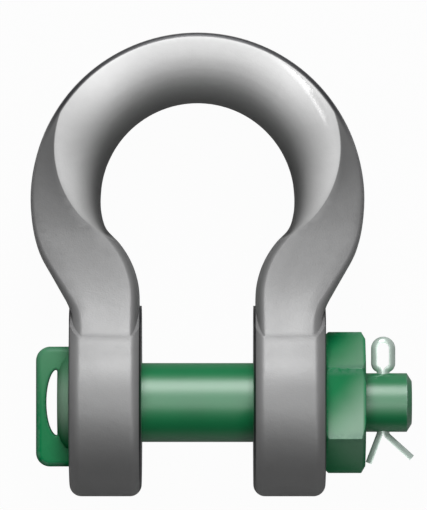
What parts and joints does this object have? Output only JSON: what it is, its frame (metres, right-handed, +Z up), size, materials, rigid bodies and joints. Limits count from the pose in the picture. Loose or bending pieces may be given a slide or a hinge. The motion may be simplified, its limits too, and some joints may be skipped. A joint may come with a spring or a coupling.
{
  "type": "wide body shackle",
  "caption": "Wide body bow shackle: forged bow with a broad crowned saddle, safety bolt with a flat gripped head, hexagon nut and bent split pin.",
  "frame": {"origin": "on the bolt's axis, midway between the ears", "axes": "+X along the bolt from its head to its nut, +Y from the bolt to the middle of the crown, +Z up; the shackle lies flat on its side"},
  "size_m": [0.3881, 0.4689, 0.1902],
  "materials": {
    "bow_steel": "satin forged and galvanised steel, neutral grey",
    "bolt_paint": "semi-gloss green paint on forged steel",
    "nut_paint": "semi-gloss green paint on steel",
    "pin_zinc": "bright zinc-plated wire with a faint green tint"
  },
  "bodies": {
    "bow": {"bow": "bow_steel"},
    "bolt": {"bolt": "bolt_paint", "split_pin": "pin_zinc"},
    "nut": {"nut": "nut_paint"}
  },
  "joints": [
    {"name": "bolt_turn", "type": "hinge", "parent": "bow", "child": "bolt", "pos_m": [0, 0, 0], "axis": [1, 0, 0], "continuous": true},
    {"name": "nut_turn", "type": "hinge", "parent": "bolt", "child": "nut", "pos_m": [0.1498, 0, 0], "axis": [1, 0, 0], "range_deg": [0, 90]}
  ]
}
